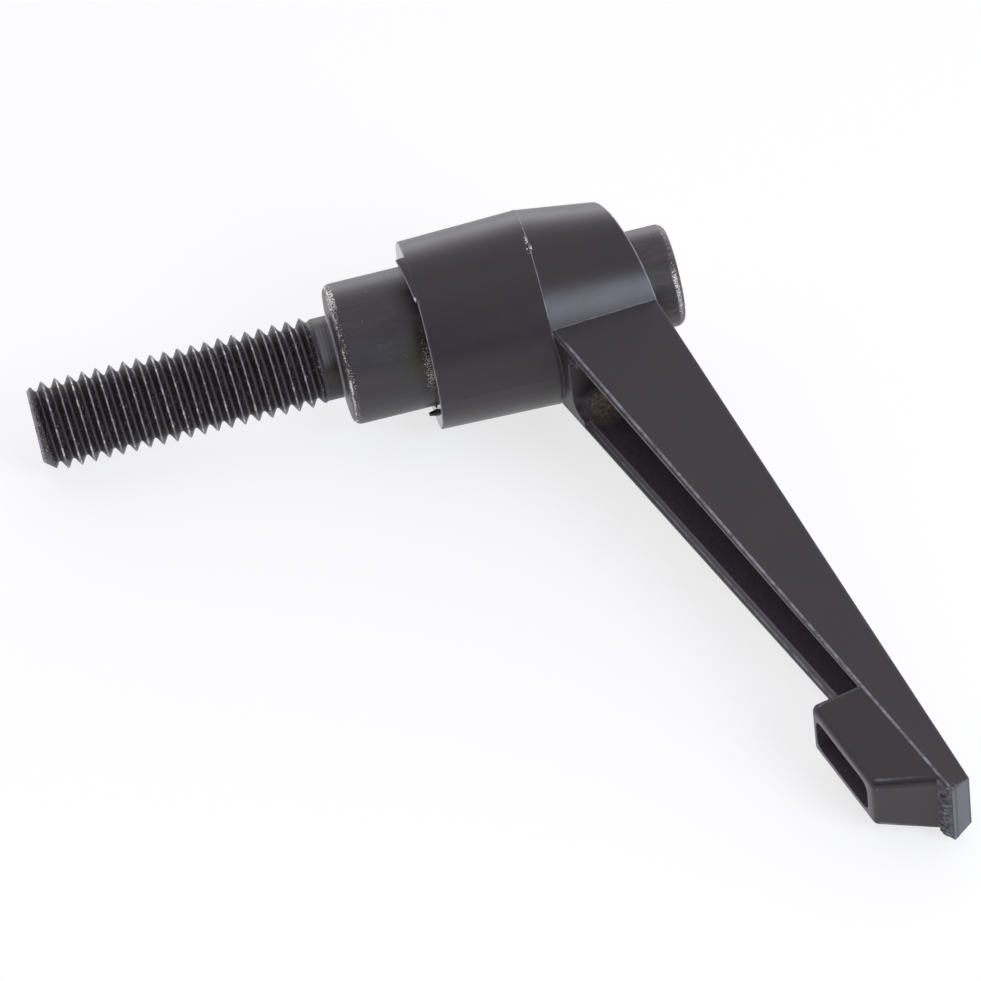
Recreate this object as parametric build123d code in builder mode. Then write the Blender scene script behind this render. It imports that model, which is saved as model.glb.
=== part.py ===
from build123d import *

import os
from math import atan2, cos, degrees, pi, radians, sin, tan

# Adjustable clamping lever with an M10 stud.
#
# A die-cast zinc lever sits on the serrated neck of a steel threaded insert. A shoulder screw holds it
# down through a compression spring. Pulled up against the spring, the lever leaves the serration and
# turns freely to another tooth. Let go, it drops back and drives the stud again.
#
# Frame: the origin is the centre of the insert's seat face, the annular face round the top of the stud.
# +Z runs up the stud axis into the lever, and +X is the direction in which the arm points.

# ---------------------------------------------------------------- threaded insert
thread_diameter = 9.8           # M10 x 1.5, right hand, as rolled: crests near the low limit of its class
thread_pitch = 1.5
stud_length = 33.5              # seat face to the end of the stud
stud_end_chamfer = 1.05
neck_diameter = 9.05            # rolled thread: the bare blank is the pitch diameter
neck_length = 1.9
neck_fillet = 0.45
collar_diameter = 15.5
collar_height = 12.7            # seat face to the shoulder under the serration
collar_edge_radius = 0.9

# ---------------------------------------------------------------- serration
tooth_count = 24                # one tooth is a turn of 15 degrees
tooth_tip_diameter = 14.2
tooth_depth = 0.95
tooth_land = 0.22               # share of a tooth's pitch that is flat at its crest
serration_height = 4.6
tooth_clearance = 0.25          # radial play between the insert's teeth and the lever's

# ---------------------------------------------------------------- retaining screw
head_diameter = 11.3
head_top = 37.5                 # seat face to the top of the screw head
head_height = 7.6
head_edge_radius = 1.0
shoulder_diameter = 8.0
screw_thread_diameter = 6.0
screw_thread_length = 9.5
screw_end_chamfer = 0.6
hex_across_flats = 6.0
hex_depth = 4.6
tapped_hole_allowance = 0.05    # radial, so that the drawn thread and its hole stay apart
tapped_hole_spare = 1.5

# ---------------------------------------------------------------- lever hub
hub_face = 9.05                 # seat face to the hub's lower face
parting_height = 22.1           # where the two halves of the die meet round the hub
parting_diameter = 21.5
hub_draft_low = 1.6             # degrees, below the parting line
hub_draft_high = 7.8            # degrees, above it
rim_edge_radius = 0.15
hub_top_height = 32.35          # on the axis
hub_top_tilt = 12.7             # degrees
hub_top_fillet = 0.25
mouth_chamfer = 0.25
collar_clearance = 0.3          # radial, between the collar and the lever's bore
seat_gap = 0.3                  # axial, between faces that would only touch
shoulder_wall = 2.5             # the web that the spring presses on
shoulder_clearance = 0.1        # radial, between the screw and the web's hole
head_clearance = 0.3            # radial, between the screw head and the spring chamber

# ---------------------------------------------------------------- lever arm
reach = 79.5                    # stud axis to the foremost edge of the arm
arm_start = 7.0                 # stud axis to the arm's first section, inside the hub
arm_root_height = 19.45         # parting line, carried back to the axis
arm_tilt_low = 18.2             # degrees, parting line
arm_root_top = 32.52            # top, carried back to the axis
arm_tilt_top = 11.0             # degrees, top
arm_root_width = 11.8           # along the parting line, at the axis
arm_tip_width = 8.1             # along the parting line, at the tip
arm_root_narrowing = 0.7        # how much each side leans in from the parting line to the top
arm_tip_narrowing = 0.5
tip_lean = 1.5                  # the end face leans back this far from bottom to top
arm_edge_fillet = 0.25
lip_root = 0.45                 # the sides run on below the parting line by this much at the axis
lip_tip = 0.12                  # and by this much at the tip
lip_lean = 0.2                  # while each leans in by this much

# ---------------------------------------------------------------- coring of the arm
core_start = 12.0               # stud axis to the core's end wall beside the hub
rail_root = 1.3                 # side wall at the underside, by the hub
rail_tip = 1.5                  # side wall at the underside, by the finger block
roof_wall = 1.8
core_draft = 2.0                # degrees
core_overrun = 0.2              # the trough is cut this far past the rails, so that its mouth is open
core_corner_radius = 1.9
rail_ridge = 0.45               # side wall at its lowest edge
rail_bevel = 0.3                # the wall reaches its full thickness this far above the parting line

# ---------------------------------------------------------------- finger block at the tip
block_start = 63.9              # stud axis to its inner face, along the arm
block_length = 14.2
block_depth_inner = 5.35
block_depth_outer = 6.8
block_inner_lean = 0.3          # how far the inner face leans out towards the tip at the bottom
block_outer_lean = 2.1          # how far the outer face leans in from the tip at the bottom
block_bottom_width = 6.65
block_edge_fillet = 0.75
block_wall = 1.15
pocket_depth = 5.2
pocket_draft = 3.0              # degrees
pocket_corner_radius = 1.1

# ---------------------------------------------------------------- casting marks
nub_diameter = 0.8              # left on the hub's lower face, where the metal ran into a vent
nub_height = 0.95
nub_reach = 8.5                 # from the axis, at the very edge of the bore
nub_angle = 41.0                # degrees from the arm, about the axis
gate_width = 7.8                # broken gate, in the corner under the lip of the tip
gate_depth = 0.6                # how far it reaches down the finger block's outer face
gate_stand = 0.5                # how far it stands out of that corner
gate_setback = 0.15             # behind the edge of the lip

# ---------------------------------------------------------------- return spring
wire_diameter = 1.1
coil_count = 4.25
spring_clearance = 0.25         # radial, between the coils and the chamber
spring_end_gap = 0.1            # axial, at each end


# Sizes that follow from the ones above.
thread_radius = thread_diameter / 2
collar_radius = collar_diameter / 2
tooth_tip_radius = tooth_tip_diameter / 2
insert_top = collar_height + serration_height
head_radius = head_diameter / 2
head_seat = head_top - head_height
parting_radius = parting_diameter / 2
counterbore_radius = collar_radius + collar_clearance
counterbore_top = collar_height + 3 * seat_gap
web_bottom = insert_top + seat_gap
web_top = web_bottom + shoulder_wall
chamber_radius = head_radius + head_clearance
hub_top_level = hub_top_height + 2 * parting_radius
arm_slope_low = tan(radians(arm_tilt_low))
arm_slope_top = tan(radians(arm_tilt_top))


def underside(x):
    """Height of the arm's parting line at a distance x from the axis."""
    return arm_root_height + x * arm_slope_low


def topside(x):
    """Height of the arm's top at a distance x from the axis."""
    return arm_root_top + x * arm_slope_top


def lip(x):
    """Depth of the lip under the parting line."""
    return lip_root + (lip_tip - lip_root) * x / reach


def half_width_low(x):
    """Half the arm's width along the parting line."""
    return (arm_root_width + (arm_tip_width - arm_root_width) * x / reach) / 2


def half_width_top(x):
    """Half the arm's width along its top edges."""
    narrowing = arm_root_narrowing + (arm_tip_narrowing - arm_root_narrowing) * x / reach
    return half_width_low(x) - narrowing


def serration(tip_radius):
    """Corners of the toothed outline, four to a tooth."""
    pitch = 2 * pi / tooth_count
    root_radius = tip_radius - tooth_depth
    half_land = tooth_land * pitch / 2
    corners = []
    for i in range(tooth_count):
        crest = i * pitch
        valley = crest + pitch / 2
        corners.append((tip_radius * cos(crest - half_land), tip_radius * sin(crest - half_land)))
        corners.append((tip_radius * cos(crest + half_land), tip_radius * sin(crest + half_land)))
        corners.append((root_radius * cos(valley - half_land), root_radius * sin(valley - half_land)))
        corners.append((root_radius * cos(valley + half_land), root_radius * sin(valley + half_land)))
    return corners


# ---------------------------------------------------------------- threaded insert
screw_end = insert_top - screw_thread_length

with BuildPart() as threaded_insert:
    # Stud, bare neck and collar are turned from one bar.
    with BuildSketch(Plane.XZ) as insert_section:
        with BuildLine():
            Polyline(
                (0, -stud_length),
                (thread_radius - stud_end_chamfer, -stud_length),
                (thread_radius, stud_end_chamfer - stud_length),
                (thread_radius, -neck_length),
                (neck_diameter / 2, -neck_length),
                (neck_diameter / 2, 0),
                (collar_radius, 0),
                (collar_radius, collar_height),
                (0, collar_height),
                close=True,
            )
        make_face()
    revolve(axis=Axis.Z)
    seat_edge = threaded_insert.edges().filter_by(GeomType.CIRCLE).filter_by(
        lambda e: abs(e.center().Z) < 1e-6 and abs(e.radius - collar_radius) < 1e-6
    )
    fillet(seat_edge, collar_edge_radius)
    neck_edge = threaded_insert.edges().filter_by(GeomType.CIRCLE).filter_by(
        lambda e: abs(e.center().Z) < 1e-6 and abs(e.radius - neck_diameter / 2) < 1e-6
    )
    fillet(neck_edge, neck_fillet)
    # The serrated neck that drives the stud.
    with BuildSketch(Plane.XY.offset(collar_height)):
        Polygon(*serration(tooth_tip_radius), align=None)
    extrude(amount=serration_height)
    # Tapped hole for the retaining screw.
    with Locations((0, 0, insert_top)):
        Hole(screw_thread_diameter / 2 + tapped_hole_allowance, depth=screw_thread_length + tapped_hole_spare)

threaded_insert.part.label = "threaded_insert"


# ---------------------------------------------------------------- retaining screw
with BuildPart() as retaining_screw:
    # A shoulder screw: the shoulder bears on the insert and sets the room for the spring.
    with BuildSketch(Plane.XZ):
        with BuildLine():
            Polyline(
                (0, screw_end),
                (screw_thread_diameter / 2 - screw_end_chamfer, screw_end),
                (screw_thread_diameter / 2, screw_end + screw_end_chamfer),
                (screw_thread_diameter / 2, insert_top),
                (shoulder_diameter / 2, insert_top),
                (shoulder_diameter / 2, head_seat),
                (head_radius, head_seat),
                (head_radius, head_top),
                (0, head_top),
                close=True,
            )
        make_face()
    revolve(axis=Axis.Z)
    fillet(retaining_screw.edges().group_by(Axis.Z)[-1], head_edge_radius)
    with BuildSketch(Plane.XY.offset(head_top)):
        RegularPolygon(hex_across_flats / 2, 6, major_radius=False)
    extrude(amount=-hex_depth, mode=Mode.SUBTRACT)

retaining_screw.part.label = "retaining_screw"


# ---------------------------------------------------------------- lever
hub_rim_radius = parting_radius - (parting_height - hub_face) * tan(radians(hub_draft_low))
hub_upper_radius = parting_radius - (hub_top_level - parting_height) * tan(radians(hub_draft_high))
hub_top_plane = Plane(
    origin=(0, 0, hub_top_height),
    x_dir=(cos(radians(hub_top_tilt)), 0, sin(radians(hub_top_tilt))),
    z_dir=(-sin(radians(hub_top_tilt)), 0, cos(radians(hub_top_tilt))),
)
tip_rise = topside(reach) - underside(reach)
tip_plane = Plane(
    origin=(reach, 0, underside(reach)),
    x_dir=(0, 1, 0),
    z_dir=(tip_rise, 0, tip_lean),
)
block_end = block_start + block_length

# The finger block hangs below the underside: two of its corners lie on the parting line.
block_bottom_inner = (block_start + block_inner_lean, underside(block_start) - block_depth_inner)
block_bottom_outer = (block_end - block_outer_lean, underside(block_end) - block_depth_outer)
block_bottom_tilt = degrees(
    atan2(block_bottom_outer[1] - block_bottom_inner[1], block_bottom_outer[0] - block_bottom_inner[0])
)


def tilted_plane(x, z, tilt):
    """A plane square to the XZ plane that rises by tilt degrees along +X through the point x, z."""
    slope = radians(tilt)
    return Plane(origin=(x, 0, z), x_dir=(cos(slope), 0, sin(slope)), z_dir=(-sin(slope), 0, cos(slope)))


block_top_plane = tilted_plane(block_start, underside(block_start), arm_tilt_low)
block_bottom_plane = tilted_plane(block_bottom_inner[0], block_bottom_inner[1], block_bottom_tilt)
block_top_length = block_length / cos(radians(arm_tilt_low))
block_bottom_length = (block_bottom_outer[0] - block_bottom_inner[0]) / cos(radians(block_bottom_tilt))

with BuildPart() as hub:
    # Two drafted cones that meet at the parting line, under a sloping top.
    with BuildSketch(Plane.XZ):
        with BuildLine():
            Polyline(
                (0, hub_face),
                (hub_rim_radius, hub_face),
                (parting_radius, parting_height),
                (hub_upper_radius, hub_top_level),
                (0, hub_top_level),
                close=True,
            )
        make_face()
    revolve(axis=Axis.Z)
    split(bisect_by=hub_top_plane, keep=Keep.BOTTOM)
    fillet(hub.edges().filter_by(GeomType.ELLIPSE), hub_top_fillet)
    fillet(hub.edges().filter_by(GeomType.CIRCLE).group_by(Axis.Z)[0], rim_edge_radius)



def rail(x):
    """Thickness of the arm's side wall."""
    return rail_root + (rail_tip - rail_root) * (x - core_start) / (block_start - core_start)


with BuildPart() as core:
    # The drafted trough that the die leaves under the arm, rounded in its corners.
    for x in (core_start, block_start):
        mouth = underside(x) - lip(x) - core_overrun
        roof = topside(x) - roof_wall
        half_mouth = half_width_low(x) - rail(x)
        half_roof = half_mouth - (roof - mouth) * tan(radians(core_draft))
        with BuildSketch(Plane.YZ.offset(x)):
            Polygon((-half_mouth, mouth), (half_mouth, mouth), (half_roof, roof), (-half_roof, roof), align=None)
    loft(ruled=True)
    corners = core.edges().filter_by(
        lambda e: abs((e @ 0).X - (e @ 1).X) < 0.01 and abs((e @ 0).Z - (e @ 1).Z) > 2 and e.center().X < block_start - 1
    )
    fillet(corners, core_corner_radius)

with BuildPart() as core_bevel:
    # The bevel along the trough's mouth, which leaves each rail a narrow ridge.
    for x in (core_start + core_corner_radius, block_start):
        bevel_top = underside(x) + rail_bevel
        bevel_bottom = underside(x) - lip(x)
        half_neck = half_width_low(x) - rail(x)
        half_ridge = half_width_low(x) - rail_ridge
        flare = (half_ridge - half_neck) / (bevel_top - bevel_bottom)
        half_mouth = half_ridge + flare * core_overrun
        mouth = bevel_bottom - core_overrun
        with BuildSketch(Plane.YZ.offset(x)):
            Polygon(
                (-half_mouth, mouth),
                (half_mouth, mouth),
                (half_neck, bevel_top),
                (-half_neck, bevel_top),
                align=None,
            )
    loft(ruled=True)

with BuildPart() as finger_block:
    # It hangs under the tip, from a footprint on the parting plane to a narrower foot.
    with BuildSketch(block_top_plane):
        Polygon(
            (0, -half_width_low(block_start)),
            (block_top_length, -half_width_low(block_end)),
            (block_top_length, half_width_low(block_end)),
            (0, half_width_low(block_start)),
            align=None,
        )
    with BuildSketch(block_bottom_plane):
        with Locations((block_bottom_length / 2, 0)):
            Rectangle(block_bottom_length, block_bottom_width)
    loft(ruled=True)
    block_edges = finger_block.edges().filter_by(lambda e: abs(block_top_plane.to_local_coords(e.center()).Z) > 0.5)
    fillet(block_edges, block_edge_fillet)

with BuildPart() as lever:
    # Arm: ruled between a section inside the hub and one past the tip, then cut at the tip.
    for x in (arm_start, reach + tip_rise):
        with BuildSketch(Plane.YZ.offset(x)):
            Polygon(
                (-half_width_low(x), underside(x)),
                (lip_lean - half_width_low(x), underside(x) - lip(x)),
                (half_width_low(x) - lip_lean, underside(x) - lip(x)),
                (half_width_low(x), underside(x)),
                (half_width_top(x), topside(x)),
                (-half_width_top(x), topside(x)),
                align=None,
            )
    loft(ruled=True)
    split(bisect_by=tip_plane, keep=Keep.BOTTOM)
    top_edges = lever.edges().filter_by(
        lambda e: e.center().X > arm_start + 1 and e.center().Z > topside(e.center().X) - 0.6
    )
    fillet(top_edges, arm_edge_fillet)

    # Finger block.
    add(finger_block.part)

    # Coring of the arm.
    add(core.part, mode=Mode.SUBTRACT)
    add(core_bevel.part, mode=Mode.SUBTRACT)

    # Pocket in the finger block.
    with BuildSketch(block_bottom_plane):
        with Locations((block_bottom_length / 2, 0)):
            RectangleRounded(
                block_bottom_length - 2 * block_wall,
                block_bottom_width - 2 * block_wall,
                pocket_corner_radius,
            )
    extrude(amount=pocket_depth, taper=pocket_draft, mode=Mode.SUBTRACT)

    # Hub, joined to the arm.
    add(hub.part)

    # Bore, from below: collar's counterbore, inner serration, web and spring chamber.
    with BuildSketch(Plane.XY.offset(hub_face)):
        Circle(counterbore_radius)
    extrude(amount=counterbore_top - hub_face, mode=Mode.SUBTRACT)
    with BuildSketch(Plane.XY.offset(counterbore_top)):
        Polygon(*serration(tooth_tip_radius + tooth_clearance), align=None)
    extrude(amount=web_bottom - counterbore_top, mode=Mode.SUBTRACT)
    with BuildSketch(Plane.XY.offset(web_bottom)):
        Circle(shoulder_diameter / 2 + shoulder_clearance)
    extrude(amount=shoulder_wall, mode=Mode.SUBTRACT)
    with BuildSketch(Plane.XY.offset(web_top)):
        Circle(chamber_radius)
    extrude(amount=hub_top_level - web_top, mode=Mode.SUBTRACT)
    mouth_edges = lever.edges().filter_by(GeomType.ELLIPSE).filter_by(
        lambda e: abs(hub_top_plane.to_local_coords(e.center()).Z) < 0.01 and e.length < 7 * chamber_radius
    )
    chamfer(mouth_edges, mouth_chamfer)

    # Vent nub on the hub's lower face.
    nub_direction = radians(nub_angle)
    with BuildSketch(Plane.XY.offset(hub_face)):
        with Locations((nub_reach * cos(nub_direction), nub_reach * sin(nub_direction))):
            Circle(nub_diameter / 2)
    extrude(amount=-nub_height, taper=12)

    # Broken gate under the lip of the tip.
    with BuildSketch(Plane.XZ.offset(-gate_width / 2)):
        with BuildLine():
            Polyline(
                (block_end - gate_stand, underside(block_end) + gate_stand),
                (block_end - gate_stand, underside(block_end) - gate_depth),
                (block_end, underside(block_end) - gate_depth),
                (block_end + gate_stand, underside(block_end) - gate_stand),
                (reach - gate_setback, underside(reach - gate_setback) - lip(reach) - 0.05),
                (reach - gate_setback, underside(reach - gate_setback) + gate_stand),
                close=True,
            )
        make_face()
    extrude(amount=gate_width)

lever.part.label = "lever"


# ---------------------------------------------------------------- return spring
coil_radius = chamber_radius - spring_clearance - wire_diameter / 2
spring_bottom = web_top + spring_end_gap + wire_diameter / 2
spring_top = head_seat - spring_end_gap - wire_diameter / 2
spring_rise = spring_top - spring_bottom

with BuildPart() as return_spring:
    with BuildLine() as coil:
        Helix(spring_rise / coil_count, spring_rise, coil_radius, center=(0, 0, spring_bottom))
    with BuildSketch(Plane(origin=coil.line @ 0, z_dir=coil.line % 0)):
        Circle(wire_diameter / 2)
    sweep(path=coil.line, is_frenet=True)

return_spring.part.label = "return_spring"

os.makedirs("parts", exist_ok=True)
export_step(threaded_insert.part, "parts/threaded_insert.step")
export_step(retaining_screw.part, "parts/retaining_screw.step")
export_step(lever.part, "parts/lever.step")
export_step(return_spring.part, "parts/return_spring.step")
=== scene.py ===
# %% [markdown]
# # An adjustable clamping lever
#
# The part is a black die-cast lever on a steel insert with a threaded stud. A shoulder screw holds the
# lever down on the insert's serration through a spring. The CAD model gives every size and place here:
# this lesson adds the thread, the ragged marks of the casting, the finishes and the light.

# %% Load the CAD frame
import bpy
import bmesh
import math
from mathutils import Matrix, Vector


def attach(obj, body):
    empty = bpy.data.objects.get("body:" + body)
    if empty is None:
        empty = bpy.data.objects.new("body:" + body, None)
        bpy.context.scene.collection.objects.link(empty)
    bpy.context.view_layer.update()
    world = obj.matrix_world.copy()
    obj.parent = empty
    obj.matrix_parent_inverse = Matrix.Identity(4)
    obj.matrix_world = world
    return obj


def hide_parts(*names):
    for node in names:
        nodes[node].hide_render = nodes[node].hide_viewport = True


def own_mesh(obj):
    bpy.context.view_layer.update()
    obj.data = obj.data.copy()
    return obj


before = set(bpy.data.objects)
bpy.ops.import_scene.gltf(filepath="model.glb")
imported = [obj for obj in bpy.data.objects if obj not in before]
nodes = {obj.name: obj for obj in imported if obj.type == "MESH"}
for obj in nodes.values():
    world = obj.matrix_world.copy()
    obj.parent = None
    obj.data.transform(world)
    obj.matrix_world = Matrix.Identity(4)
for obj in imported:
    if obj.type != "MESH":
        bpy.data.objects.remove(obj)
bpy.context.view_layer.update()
MM = 0.001
print("CAD nodes:", sorted(nodes))

# %% [markdown]
# ## Stage
# The lever lies on its side on a table: it touches it with the hub's parting edge, the end of the stud and
# the far corner of the tip. One plane through those three is the table top.

# %% Table plane
TABLE_UP = Vector((-0.1171, -1.0, 0.108)).normalized()
TABLE_GAP = 0.02 * MM
TABLE_HALF = 3.0


def lowest_along(direction):
    """How far the object reaches against a direction, from the origin."""
    reach = 0.0
    for node in nodes.values():
        for vertex in node.data.vertices:
            reach = min(reach, vertex.co.dot(direction))
    return reach


table_level = lowest_along(TABLE_UP) - TABLE_GAP
print("table lies", round(table_level / MM, 2), "mm from the stud axis")

side = TABLE_UP.orthogonal().normalized() * TABLE_HALF
other = TABLE_UP.cross(side)
middle = TABLE_UP * table_level
corners = [middle - side - other, middle + side - other, middle + side + other, middle - side + other]
table_mesh = bpy.data.meshes.new("table")
table_mesh.from_pydata([tuple(corner) for corner in corners], [], [(0, 1, 2, 3)])
table = bpy.data.objects.new("table", table_mesh)
bpy.context.collection.objects.link(table)

# %% [markdown]
# ### Node helpers
# Every finish, and every shape that follows a rule, is a tree of small nodes. These few helpers build them:
# each takes numbers or the outputs of other nodes, and gives an output.


# %% Helpers for any tree
def feed(tree, socket, value):
    """Sets a number or a colour on a socket, or links another node's output to it."""
    if isinstance(value, (int, float)):
        socket.default_value = value
    elif isinstance(value, tuple):
        socket.default_value = (*value, 1)
    else:
        tree.links.new(value, socket)


def maths(tree, operation, first, second=None, third=None, clamp=False):
    """One Math node."""
    node = tree.nodes.new("ShaderNodeMath")
    node.operation = operation
    node.use_clamp = clamp
    for socket, value in zip(node.inputs, (first, second, third)):
        if value is not None:
            feed(tree, socket, value)
    return node.outputs[0]


def times(tree, *values):
    """The product of several values."""
    result = values[0]
    for value in values[1:]:
        result = maths(tree, "MULTIPLY", result, value)
    return result


def plus(tree, *values):
    """The sum of several values."""
    result = values[0]
    for value in values[1:]:
        result = maths(tree, "ADD", result, value)
    return result


def ramp(tree, value, low, high, low_to=0.0, high_to=1.0):
    """Goes from one value to another as a third goes from low to high, and stays level outside."""
    node = tree.nodes.new("ShaderNodeMapRange")
    node.clamp = True
    for socket, number in zip(node.inputs[:5], (value, low, high, low_to, high_to)):
        feed(tree, socket, number)
    return node.outputs[0]


def mixed(tree, factor, first, second):
    """A mix of two colours."""
    node = tree.nodes.new("ShaderNodeMix")
    node.data_type = "RGBA"
    for socket, value in ((node.inputs[0], factor), (node.inputs[6], first), (node.inputs[7], second)):
        feed(tree, socket, value)
    return node.outputs[2]


def joined(tree, x, y, z):
    """A vector from three values."""
    node = tree.nodes.new("ShaderNodeCombineXYZ")
    for socket, value in zip(node.inputs, (x, y, z)):
        feed(tree, socket, value)
    return node.outputs[0]


def noise(tree, place, scale, detail=2.0, roughness=0.5):
    """Noise from 0 to 1 at a place."""
    node = tree.nodes.new("ShaderNodeTexNoise")
    node.inputs["Scale"].default_value = scale
    node.inputs["Detail"].default_value = detail
    node.inputs["Roughness"].default_value = roughness
    tree.links.new(place, node.inputs["Vector"])
    return node.outputs[0]


def mottle(tree, place, scale, detail, roughness, low, high, least=0.0, most=1.0):
    """Noise with its contrast raised: least where it is under low, most where it is over high."""
    return ramp(tree, noise(tree, place, scale, detail, roughness), low, high, least, most)


# %% [markdown]
# ### Table top
# The table is white. What looks at it sees it bleached: part of its white doesn't depend on the light, so
# that the shadow under the lever stays soft. Seen from below, the table lets the light through, and so it
# blocks no view.

# %% Table material
TABLE_WHITE = (0.93, 0.93, 0.95)
TABLE_GLOW = 1.08
TABLE_BLEACH = 0.68

table_paint = bpy.data.materials.new("white_table")
table_paint.use_nodes = True
tree = table_paint.node_tree
tree.nodes.clear()
white = tree.nodes.new("ShaderNodeBsdfDiffuse")
feed(tree, white.inputs["Color"], TABLE_WHITE)
glow = tree.nodes.new("ShaderNodeEmission")
feed(tree, glow.inputs["Color"], (1, 1, 1))
feed(tree, glow.inputs["Strength"], TABLE_GLOW)
ray_kind = tree.nodes.new("ShaderNodeLightPath").outputs
seen = plus(tree, ray_kind["Is Camera Ray"], ray_kind["Is Glossy Ray"])
seen = maths(tree, "ADD", seen, ray_kind["Is Transmission Ray"], clamp=True)
bleached = tree.nodes.new("ShaderNodeMixShader")
tree.links.new(times(tree, seen, TABLE_BLEACH), bleached.inputs["Fac"])
tree.links.new(white.outputs["BSDF"], bleached.inputs[1])
tree.links.new(glow.outputs["Emission"], bleached.inputs[2])
clear = tree.nodes.new("ShaderNodeBsdfTransparent")
geometry = tree.nodes.new("ShaderNodeNewGeometry")
from_below = tree.nodes.new("ShaderNodeMixShader")
tree.links.new(geometry.outputs["Backfacing"], from_below.inputs["Fac"])
tree.links.new(bleached.outputs["Shader"], from_below.inputs[1])
tree.links.new(clear.outputs["BSDF"], from_below.inputs[2])
output = tree.nodes.new("ShaderNodeOutputMaterial")
tree.links.new(from_below.outputs["Shader"], output.inputs["Surface"])
table_mesh.materials.append(table_paint)

# %% [markdown]
# ## Camera
# A long lens some 0.6 m away looks at the lever's near side from a little below the hub, so that the
# coring under the arm shows.

# %% Camera
CAMERA_PLACE = Vector((399.89, -435.79, -31.04)) * MM
CAMERA_RIGHT = Vector((0.228087, 0.102535, 0.968227))
CAMERA_DOWN = Vector((0.723505, 0.647618, -0.239021))
CAMERA_LOOK = CAMERA_RIGHT.cross(CAMERA_DOWN)
SENSOR_WIDTH = 36.0
FOCAL_WIDTHS = 5500 / 981

camera_data = bpy.data.cameras.new("camera")
camera_data.sensor_width = SENSOR_WIDTH
camera_data.lens = SENSOR_WIDTH * FOCAL_WIDTHS
camera_data.clip_start = 0.01
camera = bpy.data.objects.new("camera", camera_data)
bpy.context.collection.objects.link(camera)
turn = Matrix((CAMERA_RIGHT, -CAMERA_DOWN, -CAMERA_LOOK)).transposed().to_4x4()
camera.matrix_world = Matrix.Translation(CAMERA_PLACE) @ turn
bpy.context.scene.camera = camera
print("lens", round(camera_data.lens, 1), "mm")

# %% [markdown]
# ## Light
# A white tent surrounds the lever. Black paint shows little but reflections, so what the tent holds matters
# more than its strength. It has a bright wall behind the lever, and a dim, brownish side towards the camera.

# %% World
HUB_MIDDLE = Vector((10, 0, 20)) * MM
TO_CAMERA = (CAMERA_PLACE - HUB_MIDDLE).normalized()
TABLE_RIGHT = (CAMERA_RIGHT - TABLE_UP * CAMERA_RIGHT.dot(TABLE_UP)).normalized()
TABLE_BACK = (TABLE_UP * TO_CAMERA.dot(TABLE_UP) - TO_CAMERA).normalized()
SKY_PLAIN = (0.74, 0.72, 0.80)
SKY_CAMERA_SIDE = (0.02, 0.01, 0.0)
SKY_BACK = (3.0, 3.0, 3.2)
SKY_WHITE = (1.0, 1.0, 1.0)
SKY_BLEACH = 0.15

world = bpy.data.worlds.new("tent")
bpy.context.scene.world = world
world.use_nodes = True
sky = world.node_tree
outlook = sky.nodes.new("ShaderNodeTexCoord").outputs["Generated"]


def towards(direction, low, high):
    """1 where the sky lies in a direction, 0 away from it, by the cosine of the angle between."""
    dot = sky.nodes.new("ShaderNodeVectorMath")
    dot.operation = "DOT_PRODUCT"
    sky.links.new(outlook, dot.inputs[0])
    dot.inputs[1].default_value = direction
    return ramp(sky, dot.outputs["Value"], low, high)


sky_colour = mixed(sky, towards(TO_CAMERA, 0.5, 0.9), SKY_PLAIN, SKY_CAMERA_SIDE)
back_wall = times(sky, towards(TABLE_BACK, 0.55, 0.95), towards(TABLE_UP, 0.6, 0.25))
sky_colour = mixed(sky, back_wall, sky_colour, SKY_BACK)
# The camera sees plain white, and what shines sees the tent a little bleached.
sky_ray = sky.nodes.new("ShaderNodeLightPath").outputs
plain_white = plus(sky, sky_ray["Is Camera Ray"], sky_ray["Is Transmission Ray"])
plain_white = maths(sky, "MULTIPLY_ADD", sky_ray["Is Glossy Ray"], SKY_BLEACH, plain_white, clamp=True)
sky_colour = mixed(sky, plain_white, sky_colour, SKY_WHITE)
sky.links.new(sky_colour, sky.nodes["Background"].inputs["Color"])
sky.nodes["Background"].inputs["Strength"].default_value = 1.0

# %% [markdown]
# ### Lamps
# A large, weak lamp hangs overhead. A small bright window to the right of the camera draws the band on the
# upper hub.

# %% Lamps
LAMP_AIM = Vector((30, 0, 20)) * MM


def area_lamp(name, place, width, height, power, colour):
    """A soft lamp at a place, in metres, facing the lever."""
    data = bpy.data.lights.new(name, "AREA")
    data.shape = "RECTANGLE"
    data.size = width
    data.size_y = height
    data.energy = power
    data.color = colour
    lamp = bpy.data.objects.new(name, data)
    bpy.context.collection.objects.link(lamp)
    aim = (LAMP_AIM - place).to_track_quat("-Z", "Y")
    lamp.matrix_world = Matrix.Translation(place) @ aim.to_matrix().to_4x4()


def tent_place(azimuth, height, far):
    """A place by its angle from straight back, clockwise seen from above, its angle over the table, and
    how far it is, in metres."""
    turned, raised = math.radians(azimuth), math.radians(height)
    level = TABLE_BACK * math.cos(turned) + TABLE_RIGHT * math.sin(turned)
    return (level * math.cos(raised) + TABLE_UP * math.sin(raised)) * far


area_lamp("overhead", tent_place(180, 72, 0.9), 0.7, 0.7, 0.8, (0.97, 0.98, 1.0))
area_lamp("window", tent_place(137, 31, 0.8), 0.43, 0.33, 3.6, (0.80, 0.86, 1.0))

# %% [markdown]
# ## The stud's thread
# The real thread is rolled: a crest that winds up the bar at a constant pitch, a rounded root and straight
# flanks. Its surface follows a rule: the radius depends only on the height and the angle. So the tree below
# takes a flat grid, skews its rows so that each follows the helix, works out each point's radius from that
# rule, and rolls the grid round the axis. With rows along the helix the crest stays one clean line.

# %% Helpers for a Geometry Nodes tree
SEAM = 0.002 * MM


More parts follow.
